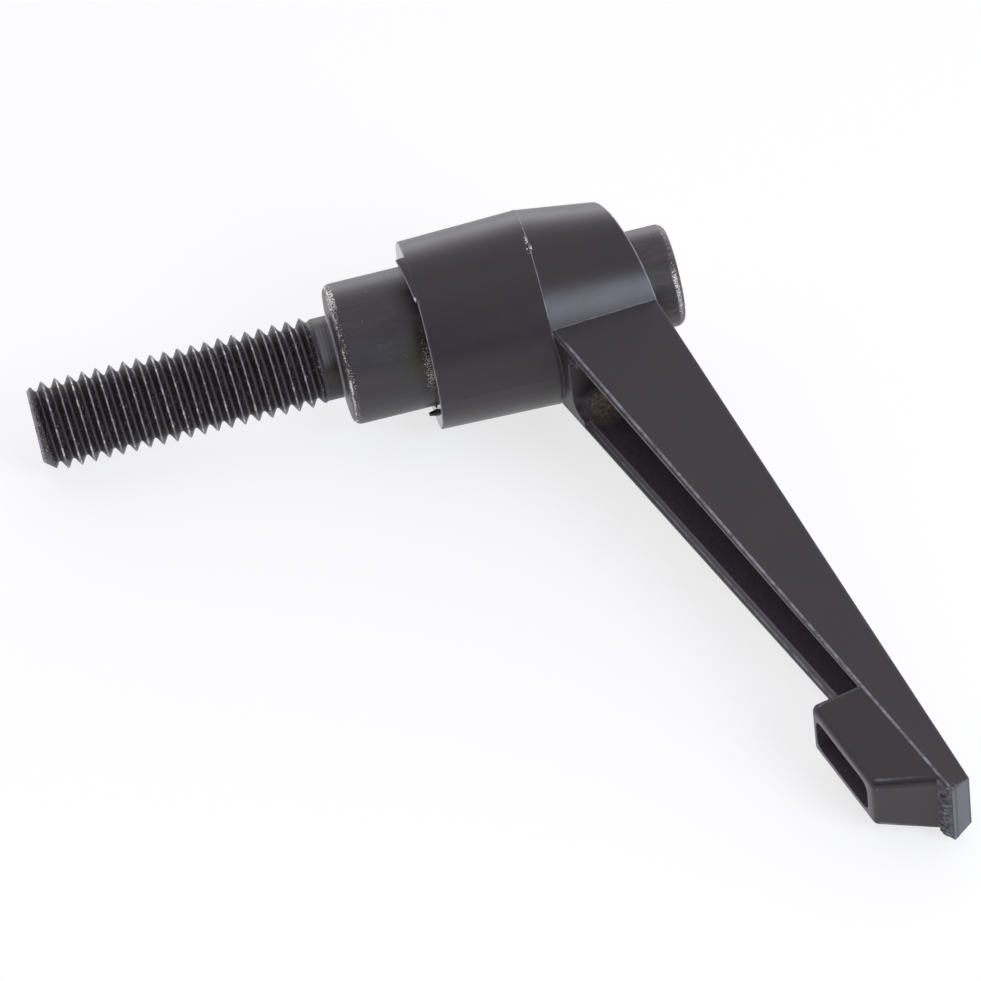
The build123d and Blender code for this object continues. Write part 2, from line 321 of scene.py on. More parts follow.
def geometry_tree(name, inputs):
    """A group with a geometry output and named float inputs. Gives the group, its input values by name,
    and the identifier of each input."""
    group = bpy.data.node_groups.new(name, "GeometryNodeTree")
    identifiers = {}
    for title, value in inputs.items():
        socket = group.interface.new_socket(title, in_out="INPUT", socket_type="NodeSocketFloat")
        socket.default_value = value
        identifiers[title] = socket.identifier
    paint = group.interface.new_socket("Material", in_out="INPUT", socket_type="NodeSocketMaterial")
    identifiers["Material"] = paint.identifier
    group.interface.new_socket("Geometry", in_out="OUTPUT", socket_type="NodeSocketGeometry")
    entry = group.nodes.new("NodeGroupInput")
    size = {title: entry.outputs[title] for title in inputs}
    return group, size, identifiers


def flat_grid(group, rows, columns):
    """A grid of points, and how far along its rows and its columns each point lies, from 0 to 1."""
    grid = group.nodes.new("GeometryNodeMeshGrid")
    grid.inputs["Size X"].default_value = 1.0
    grid.inputs["Size Y"].default_value = 1.0
    grid.inputs["Vertices X"].default_value = rows
    grid.inputs["Vertices Y"].default_value = columns
    position = group.nodes.new("GeometryNodeInputPosition")
    place = group.nodes.new("ShaderNodeSeparateXYZ")
    group.links.new(position.outputs[0], place.inputs[0])
    along = plus(group, place.outputs["X"], 0.5)
    across = plus(group, place.outputs["Y"], 0.5)
    return grid.outputs["Mesh"], along, across


def rolled(group, radius, angle, height):
    """A place from its distance and angle round the stud axis, and its height."""
    x = times(group, radius, maths(group, "COSINE", angle))
    y = times(group, radius, maths(group, "SINE", angle))
    return joined(group, x, y, height)


def end_of_tree(group, mesh, place):
    """Moves the points to their places, closes the seams, and paints the result."""
    entry = next(node for node in group.nodes if node.bl_idname == "NodeGroupInput")
    move = group.nodes.new("GeometryNodeSetPosition")
    group.links.new(mesh, move.inputs["Geometry"])
    group.links.new(place, move.inputs["Position"])
    seam = group.nodes.new("GeometryNodeMergeByDistance")
    seam.inputs["Distance"].default_value = SEAM
    group.links.new(move.outputs[0], seam.inputs[0])
    real = group.nodes.new("GeometryNodeRealizeInstances")
    group.links.new(seam.outputs[0], real.inputs[0])
    paint = group.nodes.new("GeometryNodeSetMaterial")
    group.links.new(real.outputs[0], paint.inputs["Geometry"])
    group.links.new(entry.outputs["Material"], paint.inputs["Material"])
    result = group.nodes.new("NodeGroupOutput")
    group.links.new(paint.outputs[0], result.inputs["Geometry"])


# %% [markdown]
# ### Sizes
# The thread is M10 x 1.5, right-handed. Its crests are rolled near the low limit. Near the collar it runs out
# into a bare neck, and at the end it is chamfered, a little off centre.

# %% Thread sizes
STUD = {
    "Pitch": 1.5 * MM,
    "Crest radius": 4.9 * MM,
    "Root radius": 3.97 * MM,
    "Neck radius": 4.525 * MM,
    "End radius": 3.9 * MM,
    "End slope": 0.8,
    "End offset": 0.3 * MM,
    "End side": math.radians(-116),
    "Length": 33.35 * MM,
    "Run-out start": 3.1 * MM,
    "Run-out end": 1.9 * MM,
    "Hidden top": 1.5 * MM,
    "Phase": 0.32,
    "Roughness": 0.05 * MM,
}
ROUND_STEPS = 96
STEPS_A_TURN = 16
TURNS = 26
CREST_SHARE = 0.05
ROOT_SHARE = 0.84
HIDDEN_ABOVE = -0.5 * MM
HIDDEN_INSET = 0.15 * MM
DENTS_ALONG = 700.0

# %% [markdown]
# ### Heights and angles
# Every row starts at angle 0 and climbs by one pitch on its way round. Where it meets its start again, it has
# become the row one turn higher.

# %% Thread tree: where each point lies
stud_tree, size, stud_ids = geometry_tree("rolled_thread", STUD)
stud_grid, along, turn_share = flat_grid(stud_tree, TURNS * STEPS_A_TURN + 1, ROUND_STEPS + 1)
rows_up = times(stud_tree, along, float(TURNS))
# The lowest row starts at least one turn below the stud's end, on a crest.
length_in_turns = maths(stud_tree, "DIVIDE", size["Length"], size["Pitch"])
below = maths(stud_tree, "SUBTRACT", times(stud_tree, length_in_turns, -1.0), size["Phase"])
below = maths(stud_tree, "SUBTRACT", maths(stud_tree, "FLOOR", below), 1.0)
turns_up = plus(stud_tree, below, size["Phase"], rows_up, turn_share)
raw_height = times(stud_tree, turns_up, size["Pitch"])
lowest = times(stud_tree, size["Length"], -1.0)
height = maths(stud_tree, "MINIMUM", maths(stud_tree, "MAXIMUM", raw_height, lowest), size["Hidden top"])
angle = times(stud_tree, turn_share, 2 * math.pi)

# %% [markdown]
# ### Radius
# Between one crest and the next the radius falls along a straight flank to the root and rises again. Small
# dents are looked up in space, so they agree at both sides of the seam.

# %% Thread tree: how far out each point lies
share = maths(stud_tree, "FRACT", plus(stud_tree, rows_up, 0.5))
from_crest = maths(stud_tree, "ABSOLUTE", maths(stud_tree, "MULTIPLY_ADD", share, 2.0, -1.0))
flank = ramp(stud_tree, from_crest, CREST_SHARE, ROOT_SHARE)
thread_radius = ramp(stud_tree, flank, 0.0, 1.0, size["Crest radius"], size["Root radius"])
# Near the collar the thread runs out into the bare neck.
depth = times(stud_tree, height, -1.0)
run_out = ramp(stud_tree, depth, size["Run-out end"], size["Run-out start"])
threaded = ramp(stud_tree, run_out, 0.0, 1.0, size["Neck radius"], thread_radius)
dent_place = rolled(stud_tree, 1.0, angle, times(stud_tree, height, DENTS_ALONG))
dents = maths(stud_tree, "SUBTRACT", noise(stud_tree, dent_place, 4.0), 0.5)
threaded = plus(stud_tree, threaded, times(stud_tree, dents, run_out, size["Roughness"]))
# The end is chamfered: no point there stands outside a cone.
from_end = plus(stud_tree, height, size["Length"])
end_turn = maths(stud_tree, "COSINE", maths(stud_tree, "SUBTRACT", angle, size["End side"]))
end_radius = maths(stud_tree, "MULTIPLY_ADD", end_turn, size["End offset"], size["End radius"])
cone = maths(stud_tree, "MULTIPLY_ADD", from_end, size["End slope"], end_radius)
radius = maths(stud_tree, "MINIMUM", threaded, cone)
# Rows that would lie below the end all gather on its rim.
past_end = maths(stud_tree, "LESS_THAN", raw_height, lowest)
end_rim = maths(stud_tree, "MINIMUM", end_radius, size["Root radius"])
radius = ramp(stud_tree, past_end, 0.0, 1.0, radius, end_rim)
# Above the seat the stud hides inside the collar, a little thinner than the neck.
hidden = maths(stud_tree, "GREATER_THAN", height, HIDDEN_ABOVE)
radius = maths(stud_tree, "SUBTRACT", radius, times(stud_tree, hidden, HIDDEN_INSET))
# The first and last rows close the ends: they have no radius.
not_first = maths(stud_tree, "GREATER_THAN", rows_up, 0.5 / STEPS_A_TURN)
not_last = maths(stud_tree, "LESS_THAN", rows_up, TURNS - 0.5 / STEPS_A_TURN)
radius = times(stud_tree, radius, not_first, not_last)
end_of_tree(stud_tree, stud_grid, rolled(stud_tree, radius, angle, height))

# %% [markdown]
# ### From tree to mesh
# A tree runs once, on an object that is thrown away, and its result is kept as a plain mesh. The mesh is then
# merged and its faces turned outwards. It should have no open edges.


# %% Growing a mesh from a tree
def grown_mesh(tree, identifiers, values, material, name):
    """Runs a tree once with its inputs set, and gives the result as a plain mesh."""
    holder = bpy.data.objects.new(name + "_seed", bpy.data.meshes.new(name + "_seed"))
    bpy.context.collection.objects.link(holder)
    modifier = holder.modifiers.new(name, "NODES")
    modifier.node_group = tree
    for title, value in values.items():
        modifier[identifiers[title]] = value
    modifier[identifiers["Material"]] = material
    graph = bpy.context.evaluated_depsgraph_get()
    mesh = bpy.data.meshes.new_from_object(holder.evaluated_get(graph))
    mesh.name = name
    bpy.data.objects.remove(holder)
    return mesh


def cleaned(mesh, merge=SEAM):
    """Merges doubled corners, drops empty faces and turns every face outwards."""
    work = bmesh.new()
    work.from_mesh(mesh)
    bmesh.ops.remove_doubles(work, verts=work.verts, dist=merge)
    bmesh.ops.dissolve_degenerate(work, edges=work.edges, dist=merge / 10)
    bmesh.ops.recalc_face_normals(work, faces=work.faces)
    open_edges = sum(1 for edge in work.edges if len(edge.link_faces) != 2)
    work.to_mesh(mesh)
    work.free()
    print(mesh.name, "has", len(mesh.polygons), "faces and", open_edges, "open edges")
    return mesh


black_steel = bpy.data.materials.new("black_oxide_steel")
stud_mesh = cleaned(grown_mesh(stud_tree, stud_ids, STUD, black_steel, "stud_skin"))

# %% [markdown]
# ## The insert
# The collar and the serrated neck keep their CAD shape. A copy of that node loses its plain stud below the
# seat, and the threaded one takes its place, so the insert stays one piece.

# %% Insert piece
COPY_SEAM = 0.001 * MM
CUT_BELOW_SEAT = -0.7 * MM


def joined_copy(node, name, cut_below=None):
    """A merged copy of a CAD node's mesh, cut off and closed below a height if one is given."""
    work = bmesh.new()
    work.from_mesh(node.data)
    bmesh.ops.remove_doubles(work, verts=work.verts, dist=COPY_SEAM)
    if cut_below is not None:
        geometry = work.verts[:] + work.edges[:] + work.faces[:]
        cut = bmesh.ops.bisect_plane(
            work, geom=geometry, plane_co=(0, 0, cut_below), plane_no=(0, 0, 1), clear_inner=True
        )
        rim = [item for item in cut["geom_cut"] if isinstance(item, bmesh.types.BMEdge)]
        bmesh.ops.holes_fill(work, edges=rim, sides=0)
    mesh = bpy.data.meshes.new(name)
    work.to_mesh(mesh)
    work.free()
    return mesh


def one_mesh(parts, name):
    """Several meshes as one, each keeping its own closed shell."""
    work = bmesh.new()
    for part in parts:
        work.from_mesh(part)
    mesh = bpy.data.meshes.new(name)
    work.to_mesh(mesh)
    work.free()
    return mesh


def shade_by_angle(mesh, degrees):
    """Smooth shading, with a sharp line along every edge that turns by more than this."""
    for polygon in mesh.polygons:
        polygon.use_smooth = True
    work = bmesh.new()
    work.from_mesh(mesh)
    limit = math.radians(degrees)
    for edge in work.edges:
        edge.smooth = len(edge.link_faces) == 2 and edge.calc_face_angle(0) < limit
    work.to_mesh(mesh)
    work.free()


def new_piece(mesh, name, body, material):
    """An object at the origin that shows this mesh in one material and rides on a body."""
    mesh.materials.clear()
    mesh.materials.append(material)
    piece = bpy.data.objects.new(name, mesh)
    bpy.context.collection.objects.link(piece)
    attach(piece, body)
    return piece


collar_mesh = joined_copy(nodes["threaded_insert"], "collar_copy", cut_below=CUT_BELOW_SEAT)
insert_mesh = one_mesh([collar_mesh, stud_mesh], "insert_skin")
shade_by_angle(insert_mesh, 40)
insert_piece = new_piece(insert_mesh, "insert_with_thread", "insert", black_steel)
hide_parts("threaded_insert")

# %% [markdown]
# ## The spring
# The spring stands between the lever's web and the screw's head. A merged copy of it rides on the spring's
# body.

spring_wire = bpy.data.materials.new("drawn_spring_wire")
spring_mesh = cleaned(joined_copy(nodes["return_spring"], "spring_skin"), COPY_SEAM)
shade_by_angle(spring_mesh, 40)
spring_piece = new_piece(spring_mesh, "coil_spring", "spring", spring_wire)
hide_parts("return_spring")
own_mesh(spring_piece)

# %% [markdown]
# ## Marks of the casting
# Three things on the real casting are too ragged for a clean CAD shape. Each is a grid that a rule bends, as
# the thread was. The first is round the hub, where the two halves of the die meet and a little metal has
# seeped out: a thin, uneven ridge.

# %% Parting ridge
RIDGE = {
    "Radius": 10.74 * MM,
    "Height": 22.1 * MM,
    "Stand": 0.07 * MM,
    "Half width": 0.07 * MM,
    "Sink": 0.5 * MM,
}
RIDGE_STEPS = 360
RIDGE_SECTION = 6

casting = bpy.data.materials.new("black_coated_casting")
ridge_tree, size, ridge_ids = geometry_tree("parting_ridge", RIDGE)
ridge_grid, along, across = flat_grid(ridge_tree, RIDGE_STEPS + 1, RIDGE_SECTION + 1)
angle = times(ridge_tree, along, 2 * math.pi)
section = times(ridge_tree, across, 2 * math.pi)
around = rolled(ridge_tree, 1.0, angle, 0.0)
uneven = mottle(ridge_tree, around, 14.0, 4.0, 0.7, 0.35, 0.75, 0.1, 1.6)
stand = times(ridge_tree, size["Stand"], uneven)
# Where the arm leaves the hub, the ridge sinks into the metal.
at_arm = ramp(ridge_tree, maths(ridge_tree, "COSINE", angle), 0.78, 0.86)
core_radius = maths(ridge_tree, "SUBTRACT", size["Radius"], times(ridge_tree, at_arm, size["Sink"]))
ridge_radius = maths(ridge_tree, "MULTIPLY_ADD", maths(ridge_tree, "COSINE", section), stand, core_radius)
half_width = times(ridge_tree, maths(ridge_tree, "SINE", section), size["Half width"])
ridge_height = plus(ridge_tree, half_width, size["Height"])
end_of_tree(ridge_tree, ridge_grid, rolled(ridge_tree, ridge_radius, angle, ridge_height))
ridge_mesh = cleaned(grown_mesh(ridge_tree, ridge_ids, RIDGE, casting, "parting_ridge_skin"))
shade_by_angle(ridge_mesh, 60)
ridge_piece = new_piece(ridge_mesh, "parting_ridge", "lever", casting)

# %% [markdown]
# ### Rim flash
# A thin fin of metal hangs from the hub's lower rim, flush with its wall. It is deepest where it broke off.
# Its section is a flat loop, down the outer side and up the inner one, and both its ends shrink to a point.

# %% Rim fin
FIN = {
    "Wall radius": 10.398 * MM,
    "Draft": 0.0279,
    "Half thickness": 0.08 * MM,
    "Top": 9.4 * MM,
    "Rim": 9.05 * MM,
    "Deep": 0.98 * MM,
    "Shallow": 0.2 * MM,
    "Start": math.radians(-102.5),
    "End": math.radians(-67),
    "Rag": 0.14 * MM,
}
FIN_STEPS = 90
FIN_SECTION = 8

fin_tree, size, fin_ids = geometry_tree("rim_fin", FIN)
fin_grid, along, across = flat_grid(fin_tree, FIN_STEPS + 1, FIN_SECTION + 1)
angle = ramp(fin_tree, along, 0.0, 1.0, size["Start"], size["End"])
around = rolled(fin_tree, 1.0, angle, 0.0)
ragged = maths(fin_tree, "SUBTRACT", noise(fin_tree, around, 22.0, 4.0, 0.7), 0.5)
hang = ramp(fin_tree, along, 0.0, 1.0, size["Deep"], size["Shallow"])
hang = maths(fin_tree, "MULTIPLY_ADD", ragged, size["Rag"], hang)
low = maths(fin_tree, "SUBTRACT", size["Rim"], hang)
section = times(fin_tree, across, 2 * math.pi)
from_low = maths(fin_tree, "MULTIPLY_ADD", maths(fin_tree, "COSINE", section), 0.5, 0.5)
fin_height = ramp(fin_tree, from_low, 0.0, 1.0, low, size["Top"])
above_rim = maths(fin_tree, "SUBTRACT", fin_height, size["Rim"])
wall = maths(fin_tree, "MULTIPLY_ADD", above_rim, size["Draft"], size["Wall radius"])
inner = maths(fin_tree, "SUBTRACT", maths(fin_tree, "SINE", section), 1.0)
fin_radius = maths(fin_tree, "MULTIPLY_ADD", inner, size["Half thickness"], wall)
not_start = maths(fin_tree, "GREATER_THAN", along, 0.5 / FIN_STEPS)
not_end = maths(fin_tree, "LESS_THAN", along, 1 - 0.5 / FIN_STEPS)
between = times(fin_tree, not_start, not_end)
end_point = times(fin_tree, plus(fin_tree, low, size["Top"]), 0.5)
fin_height = ramp(fin_tree, between, 0.0, 1.0, end_point, fin_height)
fin_radius = ramp(fin_tree, between, 0.0, 1.0, size["Wall radius"], fin_radius)
end_of_tree(fin_tree, fin_grid, rolled(fin_tree, fin_radius, angle, fin_height))
fin_mesh = cleaned(grown_mesh(fin_tree, fin_ids, FIN, casting, "rim_fin_skin"))
shade_by_angle(fin_mesh, 50)
fin_piece = new_piece(fin_mesh, "rim_fin", "lever", casting)

# %% [markdown]
# ### Torn gate
# At the tip the gate was broken off, and its stub is torn. A thin block lies over the stub, turned so that
# its outer side looks out of the corner under the lip. The tear runs in streaks along it.

# %% Torn gate
TORN = {
    "Centre X": 78.76 * MM,
    "Centre Z": 44.98 * MM,
    "Length": 1.75 * MM,
    "Width": 7.9 * MM,
    "Depth": 0.9 * MM,
    "Stand": 0.28 * MM,
    "Tilt": math.radians(34),
    "Tear": 0.95 * MM,
}
TORN_COUNTS = {"Vertices X": 22, "Vertices Y": 90, "Vertices Z": 5}
STREAKS_ALONG = 900.0
STREAKS_ACROSS = 2600.0
STREAKS_MIDDLE = 0.45


def tear_streaks(tree, along, across):
    """The noise that both the torn shape and its colours follow."""
    place = joined(tree, times(tree, along, STREAKS_ALONG), times(tree, across, STREAKS_ACROSS), 0.0)
    return noise(tree, place, 1.0, 3.0, 0.65)


torn_tree, size, torn_ids = geometry_tree("torn_gate", TORN)
cube = torn_tree.nodes.new("GeometryNodeMeshCube")
cube.inputs["Size"].default_value = (1, 1, 1)
for title, count in TORN_COUNTS.items():
    cube.inputs[title].default_value = count
position = torn_tree.nodes.new("GeometryNodeInputPosition")
in_cube = torn_tree.nodes.new("ShaderNodeSeparateXYZ")
torn_tree.links.new(position.outputs[0], in_cube.inputs[0])
slide = times(torn_tree, in_cube.outputs["X"], size["Length"])
sideways = times(torn_tree, in_cube.outputs["Y"], size["Width"])
streaks = tear_streaks(torn_tree, slide, sideways)
bulge = ramp(torn_tree, maths(torn_tree, "ABSOLUTE", in_cube.outputs["X"]), 0.1, 0.5, 1.0, 0.0)
end_drop = ramp(torn_tree, maths(torn_tree, "ABSOLUTE", in_cube.outputs["Y"]), 0.44, 0.5, 1.0, 0.0)
torn = times(torn_tree, maths(torn_tree, "SUBTRACT", streaks, STREAKS_MIDDLE), size["Tear"])
lift = times(torn_tree, plus(torn_tree, torn, times(torn_tree, bulge, size["Stand"])), end_drop)
# The outer side is the cube's lower one: only it is lifted, and the other lies deep in the stub.
outer = ramp(torn_tree, in_cube.outputs["Z"], -0.5, 0.5, 1.0, 0.0)
sunk = times(torn_tree, maths(torn_tree, "SUBTRACT", outer, 1.0), size["Depth"])
proud = plus(torn_tree, times(torn_tree, outer, lift), sunk)
cosine = maths(torn_tree, "COSINE", size["Tilt"])
sine = maths(torn_tree, "SINE", size["Tilt"])
x = plus(torn_tree, times(torn_tree, slide, cosine), times(torn_tree, proud, sine), size["Centre X"])
z = maths(torn_tree, "SUBTRACT", times(torn_tree, slide, sine), times(torn_tree, proud, cosine))
z = plus(torn_tree, z, size["Centre Z"])
end_of_tree(torn_tree, cube.outputs["Mesh"], joined(torn_tree, x, sideways, z))
torn_mesh = cleaned(grown_mesh(torn_tree, torn_ids, TORN, casting, "torn_gate_skin"))
shade_by_angle(torn_mesh, 35)
torn_piece = new_piece(torn_mesh, "torn_gate", "lever", casting)

# %% [markdown]
# ## Finishes
# Each finish starts from the object's own coordinates, so that its grain stays where it is when the lever
# turns. A mask says where a mark lies: it is 1 on the mark, 0 off it, and masks are multiplied. Wear and
# painted edge highlights follow the shape: where an edge is sharp, a rounded copy of the normal departs from
# the true one.

# %% Helpers for finishes
BEVEL_SAMPLES = 4


def new_finish(material):
    """Its tree, its shader, and the place of each point in metres."""
    material.use_nodes = True
    tree = material.node_tree
    shader = tree.nodes["Principled BSDF"]
    place = tree.nodes.new("ShaderNodeTexCoord").outputs["Object"]
    return tree, shader, place


def parts_of(tree, place):
    """X, Y, Z and the distance from the stud axis."""
    node = tree.nodes.new("ShaderNodeSeparateXYZ")
    tree.links.new(place, node.inputs[0])
    x, y, z = node.outputs
    distance = maths(tree, "SQRT", plus(tree, times(tree, x, x), times(tree, y, y)))
    return x, y, z, distance


def stretched(tree, place, along_x, along_y, along_z):
    """The place, scaled along each axis."""
    node = tree.nodes.new("ShaderNodeVectorMath")
    node.operation = "MULTIPLY"
    tree.links.new(place, node.inputs[0])
    node.inputs[1].default_value = (along_x, along_y, along_z)
    return node.outputs[0]


def beyond(tree, value, low_mm, high_mm):
    """0 before one length, 1 after the other."""
    return ramp(tree, value, low_mm * MM, high_mm * MM)


def band(tree, value, low_mm, high_mm, soft_mm):
    """1 between two lengths, fading to 0 outside them."""
    up = beyond(tree, value, low_mm - soft_mm, low_mm)
    down = ramp(tree, value, high_mm * MM, (high_mm + soft_mm) * MM, 1.0, 0.0)
    return times(tree, up, down)


def spot(tree, place, centre_mm, inner_mm, outer_mm):
    """1 within a distance of a point, fading to 0 further out."""
    node = tree.nodes.new("ShaderNodeVectorMath")
    node.operation = "DISTANCE"
    tree.links.new(place, node.inputs[0])
    node.inputs[1].default_value = Vector(centre_mm) * MM
    return ramp(tree, node.outputs["Value"], inner_mm * MM, outer_mm * MM, 1.0, 0.0)


def above_line(tree, x, z, slope):
    """Height above a line through the origin that rises along the arm."""
    return maths(tree, "MULTIPLY_ADD", x, -slope, z)


def rounded_normal(tree, radius_mm):
    """The surface's normal with its edges rounded."""
    node = tree.nodes.new("ShaderNodeBevel")
    node.samples = BEVEL_SAMPLES
    node.inputs["Radius"].default_value = radius_mm * MM
    return node.outputs[0]


def sharp_edge_mask(tree, radius_mm, low, high):
    """1 on edges sharper than a small radius."""
    true_normal = tree.nodes.new("ShaderNodeNewGeometry").outputs["Normal"]
    dot = tree.nodes.new("ShaderNodeVectorMath")
    dot.operation = "DOT_PRODUCT"
    tree.links.new(rounded_normal(tree, radius_mm), dot.inputs[0])
    tree.links.new(true_normal, dot.inputs[1])
    return ramp(tree, dot.outputs["Value"], 1.0 - low, 1.0 - high)


def bumps(tree, height, depth_mm, normal=None):
    """Bump from a height of 0 to 1."""
    node = tree.nodes.new("ShaderNodeBump")
    node.inputs["Strength"].default_value = 1.0
    node.inputs["Distance"].default_value = depth_mm * MM
    tree.links.new(height, node.inputs["Height"])
    if normal is not None:
        tree.links.new(normal, node.inputs["Normal"])
    return node.outputs[0]


# %% [markdown]
# ### The casting's black coat
# A satin powder coat on die-cast zinc. It is nearly even: a fine grain and a slow drift of tone. Light lines
# run along sharp edges, along the lip of the arm's lower edge and round the hub's top: partly rubbed-through
# coat, partly painted highlight.

# %% Coat, rubbed edges and painted edge highlights
COAT_BLACK = (0.0225, 0.0165, 0.0225)
COAT_BROWN = (0.0235, 0.0172, 0.0185)
RUBBED_AND_HIGHLIGHT_GREY = (0.30, 0.29, 0.315)
BARE_ZINC = (0.72, 0.72, 0.74)
ARM_TAPER = 0.025
LIP_SLOPE = 0.3288
HUB_TOP_SLOPE = 0.2254
HUB_TAPER = 0.137

tree, shader, place = new_finish(casting)
x, y, z, distance = parts_of(tree, place)
drift = noise(tree, place, 130.0, 3.0)
grain = noise(tree, place, 2600.0, 3.0, 0.6)
patchy = mottle(tree, place, 900.0, 3.0, 0.7, 0.38, 0.6, 0.25, 1.0)
# How far a point lies from the arm's mid-plane, as if the arm didn't taper.
off_middle = maths(tree, "MULTIPLY_ADD", x, ARM_TAPER, maths(tree, "ABSOLUTE", y))

colour = mixed(tree, ramp(tree, drift, 0.4, 0.65), COAT_BLACK, COAT_BROWN)
# Sharp edges are lightened: partly rubbed coat, partly painted highlight.
edges = times(tree, sharp_edge_mask(tree, 0.22, 0.008, 0.1), patchy, 0.9)
colour = mixed(tree, edges, colour, RUBBED_AND_HIGHLIGHT_GREY)
# The lip of the arm's lower edge is lightened: partly rubbed coat, partly painted highlight.
along_lip = band(tree, above_line(tree, x, z, LIP_SLOPE), 19.36, 19.6, 0.06)
on_sides = beyond(tree, off_middle, 4.95, 5.15)
along_lip = times(tree, along_lip, on_sides, beyond(tree, x, 11, 12), patchy, 0.8)
colour = mixed(tree, along_lip, colour, RUBBED_AND_HIGHLIGHT_GREY)
# The line round the hub's top is lightened: partly rubbed coat, partly painted highlight.
top_rim = band(tree, above_line(tree, x, z, HUB_TOP_SLOPE), 32.2, 32.5, 0.08)
at_rim = band(tree, maths(tree, "MULTIPLY_ADD", z, HUB_TAPER, distance), 13.6, 13.85, 0.1)
top_rim = times(tree, top_rim, band(tree, x, -6.0, 8.2, 1.0), at_rim, patchy)
colour = mixed(tree, top_rim, colour, RUBBED_AND_HIGHLIGHT_GREY)

# %% [markdown]
# ### The hub's lower rim
# The rim is rubbed in a thin line, which runs along the fin's lower edge where there is one. It has one bare
# nick.

# %% Lower rim
FIN_SLOPE = 0.1236
RIM_NICK = (3.7, -9.7, 8.78)

on_wall = beyond(tree, distance, 10.24, 10.3)
beside_fin = times(tree, band(tree, x, -2.25, 4.06, 0.06), ramp(tree, y, 0.0, -1.0 * MM))
off_fin = maths(tree, "SUBTRACT", 1.0, beside_fin)
rim = times(tree, band(tree, z, 8.95, 9.14, 0.03), on_wall, off_fin)
below_fin = ramp(tree, above_line(tree, x, z, FIN_SLOPE), 8.47 * MM, 8.41 * MM)
rim = maths(tree, "MAXIMUM", rim, times(tree, below_fin, on_wall, beside_fin))
rim = times(tree, rim, mottle(tree, place, 500.0, 3.0, 0.8, 0.35, 0.62, 0.45, 1.0))
colour = mixed(tree, rim, colour, RUBBED_AND_HIGHLIGHT_GREY)
colour = mixed(tree, spot(tree, place, RIM_NICK, 0.17, 0.3), colour, BARE_ZINC)

# %% [markdown]
# ### The parting line
# The parting ridge is painted as a pale line, a painted highlight, with specks of bare flash in one place.

# %% Parting line
FLASH_CENTRE = (0.7, -10.75, 22.1)

# Painted highlight: a pale line along the parting ridge.
parting = times(tree, band(tree, z, 22.02, 22.18, 0.05), beyond(tree, distance, 10.76, 10.8))
parting = times(tree, parting, mottle(tree, place, 700.0, 3.0, 0.8, 0.35, 0.6, 0.45, 1.0))
colour = mixed(tree, parting, colour, RUBBED_AND_HIGHLIGHT_GREY)
specks = mottle(tree, place, 2700.0, 2.0, 0.8, 0.54, 0.6)
flash = times(tree, specks, spot(tree, place, FLASH_CENTRE, 0.8, 1.5), band(tree, z, 21.8, 22.3, 0.1))
colour = mixed(tree, flash, colour, BARE_ZINC)

# %% [markdown]
# ### The tip
# The torn gate is pale on the streaks, with painted shade in its pits and in a few deep voids at its near end.
# The tip's end facet is painted light grey: a painted reflection of the table.

# %% Gate and tip
PAINTED_PIT_SHADE = (0.004, 0.003, 0.003)
PAINTED_TIP_REFLECTION = (0.097, 0.095, 0.111)
GATE_VOIDS = ((78.8, -2.8, 44.7), (78.8, -2.1, 44.7), (79.6, -3.4, 45.15), (79.85, -2.3, 45.3))
TIP_ACROSS = 0.89
TIP_UP = 0.46

gate_cosine, gate_sine = math.cos(TORN["Tilt"]), math.sin(TORN["Tilt"])
off_x = maths(tree, "SUBTRACT", x, TORN["Centre X"])
off_z = maths(tree, "SUBTRACT", z, TORN["Centre Z"])
slide = maths(tree, "MULTIPLY_ADD", off_z, gate_sine, times(tree, off_x, gate_cosine))
outwards = maths(tree, "MULTIPLY_ADD", off_z, -gate_cosine, times(tree, off_x, gate_sine))
streaks = tear_streaks(tree, slide, y)
on_gate = times(tree, band(tree, slide, -0.85, 0.8, 0.06), band(tree, y, -3.95, 3.95, 0.05))
on_gate = times(tree, on_gate, beyond(tree, outwards, -0.3, -0.1))
colour = mixed(tree, times(tree, on_gate, ramp(tree, streaks, 0.5, 0.62), 0.6), colour, RUBBED_AND_HIGHLIGHT_GREY)
# Painted shade in the pits between the streaks.
colour = mixed(tree, times(tree, on_gate, ramp(tree, streaks, 0.45, 0.36)), colour, PAINTED_PIT_SHADE)
# Painted shade in the deep voids.
for centre in GATE_VOIDS:
    colour = mixed(tree, spot(tree, place, centre, 0.25, 0.5), colour, PAINTED_PIT_SHADE)
end_side = maths(tree, "MULTIPLY_ADD", z, TIP_UP, times(tree, x, TIP_ACROSS))
# Painted reflection: the tip's end facet is lightened.
tip_end = times(tree, beyond(tree, end_side, 91.35, 91.45), ramp(tree, grain, 0.3, 0.6, 0.8, 1.0))
colour = mixed(tree, tip_end, colour, PAINTED_TIP_REFLECTION)

# %% [markdown]
# ### The coring
# Inside the trough under the arm, and in the finger block's pocket, the coat is painted lighter: painted light
# in the shaded recess. Some yellowish dirt sits where the trough begins.

# %% Coring
PAINTED_TROUGH_LIGHT = (0.075, 0.058, 0.078)
PAINTED_TROUGH_LIGHTER = (0.11, 0.09, 0.11)
DIRT = (0.40, 0.33, 0.21)
DIRT_CENTRE = (13.0, 3.6, 26.2)
ROOF_SLOPE = 0.2

inside = ramp(tree, off_middle, 4.95 * MM, 4.65 * MM)
under_roof = ramp(tree, above_line(tree, x, z, ROOF_SLOPE), 29.8 * MM, 29.2 * MM)
cored = times(tree, inside, band(tree, x, 12.5, 75.0, 0.3), under_roof)
